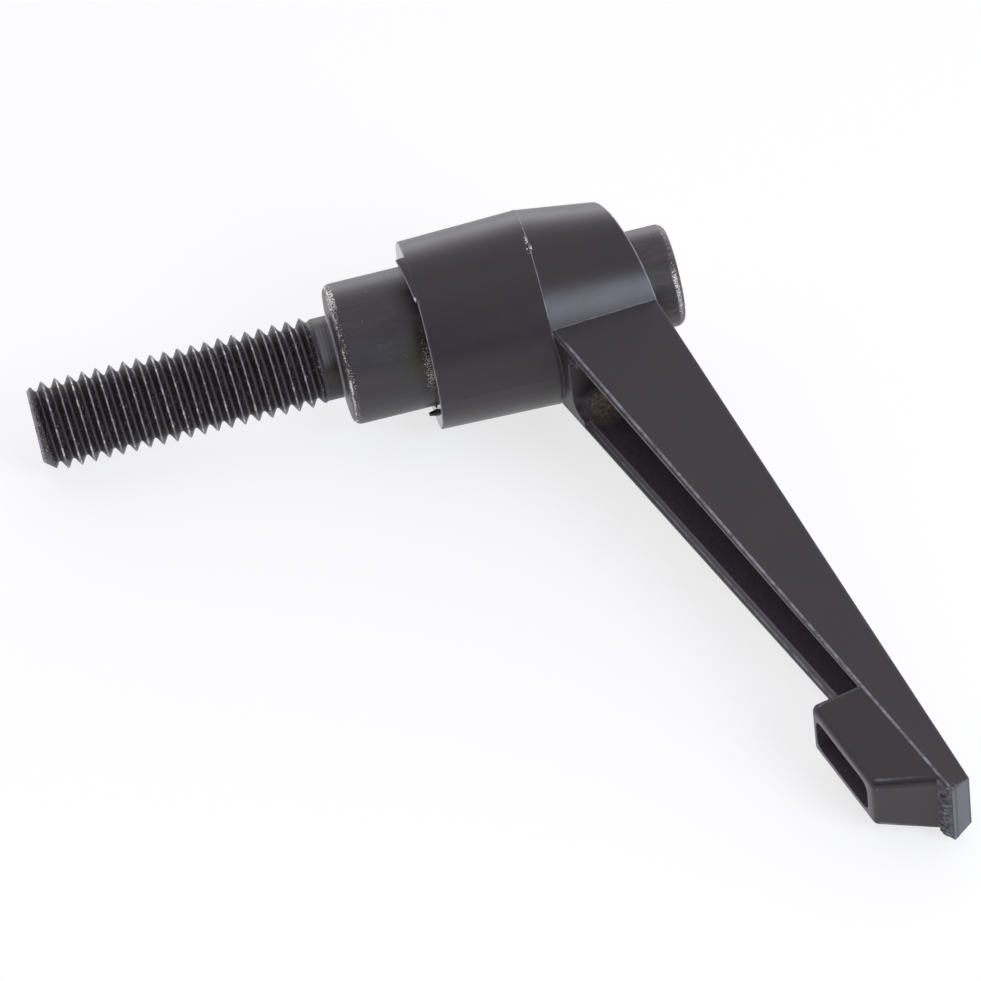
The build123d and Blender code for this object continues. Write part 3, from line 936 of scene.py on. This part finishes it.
# Painted light: the shaded trough is lightened, with a grain.
trough_painted_light = mixed(tree, ramp(tree, grain, 0.3, 0.7), PAINTED_TROUGH_LIGHT, PAINTED_TROUGH_LIGHTER)
colour = mixed(tree, cored, colour, trough_painted_light)
crumbs = mottle(tree, place, 3000.0, 4.0, 0.8, 0.44, 0.6, 0.15, 1.0)
dirt = times(tree, spot(tree, place, DIRT_CENTRE, 1.0, 2.6), crumbs, inside)
colour = mixed(tree, dirt, colour, DIRT)
tree.links.new(colour, shader.inputs["Base Color"])

# %% [markdown]
# ### Gloss and grain
# The coat's gloss drifts slowly. The ring face under the rim is rubbed smooth, and the arm's broad back is
# duller than its sides.

# %% Gloss and grain
BACK_SLOPE = 0.1945
RING_GLOSS = 0.14

satin = maths(tree, "MULTIPLY_ADD", drift, 0.1, 0.26)
satin = plus(tree, satin, times(tree, grain, 0.08))
ring_face = times(tree, band(tree, z, 9.0, 9.075, 0.01), ramp(tree, distance, 10.33 * MM, 10.25 * MM))
satin = ramp(tree, ring_face, 0.0, 1.0, satin, RING_GLOSS)
on_back = times(tree, beyond(tree, above_line(tree, x, z, BACK_SLOPE), 32.15, 32.3), beyond(tree, x, 7, 10))
satin = maths(tree, "MULTIPLY_ADD", on_back, 0.3, satin)
tree.links.new(satin, shader.inputs["Roughness"])
normal = bumps(tree, grain, 0.004, rounded_normal(tree, 0.12))
normal = bumps(tree, drift, 0.05, normal)
normal = bumps(tree, noise(tree, place, 430.0, 2.0), 0.012, normal)
tree.links.new(normal, shader.inputs["Normal"])
shader.inputs["IOR"].default_value = 1.5

# %% [markdown]
# ### Blackened steel
# The insert and the screw are turned from bar and blackened in oil. The tool's marks run round them. The
# coat has gone where they rub: on the rounding of the collar, on the thread's crests, and in specks
# elsewhere. The stronger the wear, the more of the fine grit shows bright.

# %% Blackened steel
INSERT_TONES = ((0.027, 0.0222, 0.0255), (0.040, 0.036, 0.042))
SCREW_TONES = ((0.030, 0.0215, 0.0225), (0.060, 0.049, 0.050))
STEEL_BRIGHT = (0.80, 0.76, 0.70)
OIL_STAIN = (0.030, 0.028, 0.013)


def steel_finish(material, tones, rubbed, stained=None, lines=None):
    """Black oxide with turned marks. Three functions add to it: rubbed and stained give the masks of wear
    and of oil stains, and lines paints over the colour."""
    black, grey = tones
    tree, shader, place = new_finish(material)
    x, y, z, distance = parts_of(tree, place)
    drift = noise(tree, place, 260.0, 3.0)
    rounds = joined(tree, times(tree, distance, 2600.0), 0.0, times(tree, z, 5200.0))
    marks = noise(tree, rounds, 1.0, 2.0)
    streaky = noise(tree, stretched(tree, place, 2400, 2400, 330), 1.0, 3.0)
    grit = noise(tree, place, 7000.0, 2.0, 0.75)
    colour = mixed(tree, ramp(tree, drift, 0.35, 0.7, 0.0, 0.8), black, grey)
    colour = mixed(tree, ramp(tree, streaky, 0.48, 0.66, 0.0, 0.8), colour, grey)
    if stained is not None:
        colour = mixed(tree, stained(tree, place), colour, OIL_STAIN)
    if lines is not None:
        colour = lines(tree, place, z, distance, colour)
    wear = rubbed(tree, place, z, distance)
    shows = ramp(tree, plus(tree, grit, times(tree, wear, 0.26)), 0.73, 0.80)
    colour = mixed(tree, shows, colour, STEEL_BRIGHT)
    tree.links.new(colour, shader.inputs["Base Color"])
    tree.links.new(times(tree, shows, 0.85), shader.inputs["Metallic"])
    tree.links.new(maths(tree, "MULTIPLY_ADD", marks, 0.16, 0.32), shader.inputs["Roughness"])
    normal = bumps(tree, grit, 0.006, bumps(tree, marks, 0.004))
    tree.links.new(normal, shader.inputs["Normal"])


# %% [markdown]
# ### The insert's wear and stains
# The collar is worn on its lower rounding, most of all on one side, and by the hub. The thread is worn in
# patches on its crests, and round its end. Oil has dried to a yellowish stain on the collar and on the neck.

# %% Insert's wear and stains
COLLAR_WEAR = (-1.0, -7.5, 0.3)
HUB_SIDE_WEAR = (7.2, -2.8, 8.7)
COLLAR_STAIN = (6.8, -3.6, 7.9)
NECK_STAIN = (4.3, -1.3, -1.5)


def strongest(tree, *values):
    """The largest of several values."""
    result = values[0]
    for value in values[1:]:
        result = maths(tree, "MAXIMUM", result, value)
    return result


def insert_wear(tree, place, z, distance):
    """The collar's rounding, its far end by the hub, and the thread's crests and end."""
    on_collar = beyond(tree, distance, 6.9, 7.1)
    uneven = mottle(tree, place, 1100.0, 3.0, 0.7, 0.36, 0.6, 0.5, 1.25)
    patches = mottle(tree, place, 900.0, 3.0, 0.7, 0.48, 0.6, 0.0, 1.35)
    rounding = times(tree, band(tree, z, 0.22, 0.36, 0.14), on_collar, uneven)
    beside = times(tree, band(tree, z, 0.0, 0.7, 0.3), on_collar, 0.55)
    one_side = times(tree, spot(tree, place, COLLAR_WEAR, 1.0, 3.6), band(tree, z, 0.0, 0.8, 0.2), on_collar)
    by_hub = times(tree, beyond(tree, z, 7.8, 8.7), spot(tree, place, HUB_SIDE_WEAR, 2.0, 5.2), 0.75)
    below_run_out = ramp(tree, z, -2.8 * MM, -3.4 * MM)
    crest = times(tree, beyond(tree, distance, 4.72, 4.86), below_run_out, patches)
    end = times(tree, ramp(tree, z, -32.3 * MM, -32.6 * MM), beyond(tree, distance, 3.55, 3.75), 0.45)
    return strongest(tree, rounding, beside, one_side, by_hub, crest, end)


def insert_stains(tree, place):
    """Dried oil on the collar by the hub, and on the neck."""
    return strongest(tree, spot(tree, place, COLLAR_STAIN, 0.6, 3.4), spot(tree, place, NECK_STAIN, 0.3, 1.6))


# %% [markdown]
# ### The stud's lines
# Rolling polishes the crests, and dirt settles pale in the roots. The flanks between are black, with grit. The
# bare neck is brown, with a painted sheen on one side, an olive blotch, and a grey line by the seat.

# %% Stud's lines
CREST_GREY = (0.34, 0.32, 0.34)
ROOT_GREY = (0.044, 0.040, 0.045)
FLANK_BLACK = (0.008, 0.005, 0.0065)
FLANK_GRIT = (0.34, 0.30, 0.33)
NECK_BROWN = (0.010, 0.0080, 0.0070)
SHEEN_PAINT_TONE = (0.17, 0.165, 0.20)
NECK_OLIVE = (0.022, 0.020, 0.010)
NECK_GREY = (0.36, 0.35, 0.36)
SHEEN_PAINT_CENTRE = (1.6, -4.2, -1.1)
NECK_BLOTCH = (4.25, -1.7, -1.1)


def thread_lines(tree, place, z, distance, colour):
    """The tones of the neck, then those of the thread."""
    in_neck = ramp(tree, distance, 4.8 * MM, 4.7 * MM)
    on_neck = times(tree, band(tree, z, -1.9, -0.1, 0.05), in_neck)
    down_neck = joined(tree, 0.0, 0.0, times(tree, z, 9000.0))
    rings = mottle(tree, down_neck, 1.0, 1.0, 0.5, 0.4, 0.6, 0.35, 1.0)
    # Painted sheen: one side of the neck is lightened, in rings.
    painted_sheen = times(tree, on_neck, spot(tree, place, SHEEN_PAINT_CENTRE, 1.6, 3.2), rings)
    blotch = times(tree, on_neck, spot(tree, place, NECK_BLOTCH, 0.5, 1.5))
    by_seat = times(tree, band(tree, z, -0.38, -0.2, 0.04), in_neck, 0.8)
    on_thread = ramp(tree, z, -2.0 * MM, -2.4 * MM)
    gritty = times(tree, on_thread, mottle(tree, place, 4600.0, 2.0, 0.75, 0.615, 0.66))
    in_root = ramp(tree, distance, 4.12 * MM, 4.02 * MM)
    root = times(tree, on_thread, in_root, beyond(tree, z, -32.2, -32.0))
    crest = times(tree, on_thread, beyond(tree, distance, 4.78, 4.88))
    crest = times(tree, crest, mottle(tree, place, 800.0, 4.0, 0.8, 0.35, 0.62, 0.35, 1.0))
    end = times(tree, ramp(tree, z, -32.95 * MM, -33.2 * MM), beyond(tree, distance, 3.5, 3.6))
    end = times(tree, end, mottle(tree, place, 1500.0, 2.0, 0.5, 0.3, 0.6, 0.3, 1.0))
    layers = (
        (on_neck, NECK_BROWN),
        (painted_sheen, SHEEN_PAINT_TONE),
        (blotch, NECK_OLIVE),
        (by_seat, NECK_GREY),
        (on_thread, FLANK_BLACK),
        (gritty, FLANK_GRIT),
        (root, ROOT_GREY),
        (strongest(tree, crest, end), CREST_GREY),
    )
    for mask, tone in layers:
        colour = mixed(tree, mask, colour, tone)
    return colour


steel_finish(black_steel, INSERT_TONES, insert_wear, insert_stains, thread_lines)

# %% [markdown]
# ### The screw
# Its head is worn along the rounding at its top, most of all on one side.

# %% Screw's finish
SCREW_WEAR = (5.0, -2.2, 37.0)


def screw_wear(tree, place, z, distance):
    """The rounding of the screw's head, most of all on one side."""
    rounding = times(tree, band(tree, z, 36.75, 37.1, 0.22), beyond(tree, distance, 4.7, 4.9))
    one_side = spot(tree, place, SCREW_WEAR, 1.6, 3.4)
    return times(tree, rounding, maths(tree, "MULTIPLY_ADD", one_side, 0.45, 0.5))


screw_steel = bpy.data.materials.new("black_oxide_screw")
steel_finish(screw_steel, SCREW_TONES, screw_wear)

# %% [markdown]
# ### The spring's wire
# Drawn steel wire, bare and bright, with fine marks along it.

# %% Spring's finish
WIRE_DARK = (0.28, 0.28, 0.29)
WIRE_LIGHT = (0.42, 0.42, 0.43)

tree, shader, place = new_finish(spring_wire)
drawn = noise(tree, stretched(tree, place, 3000, 3000, 9000), 1.0, 3.0)
tree.links.new(mixed(tree, drawn, WIRE_DARK, WIRE_LIGHT), shader.inputs["Base Color"])
shader.inputs["Metallic"].default_value = 1.0
tree.links.new(maths(tree, "MULTIPLY_ADD", drawn, 0.2, 0.22), shader.inputs["Roughness"])
tree.links.new(bumps(tree, drawn, 0.006), shader.inputs["Normal"])

# %% [markdown]
# ## Painting the CAD nodes
# The CAD nodes keep their shape and take the same finishes.

# %% Painting the CAD nodes
PAINT = {
    "lever": casting,
    "threaded_insert": black_steel,
    "retaining_screw": screw_steel,
    "return_spring": spring_wire,
}
for name, material in PAINT.items():
    nodes[name].data.materials.clear()
    nodes[name].data.materials.append(material)
print("finishes:", sorted(material.name for material in bpy.data.materials))

# %% [markdown]
# ## Finish
# The view transform is set to Standard.

# %% Settings and finish
bpy.context.scene.view_settings.view_transform = "Standard"
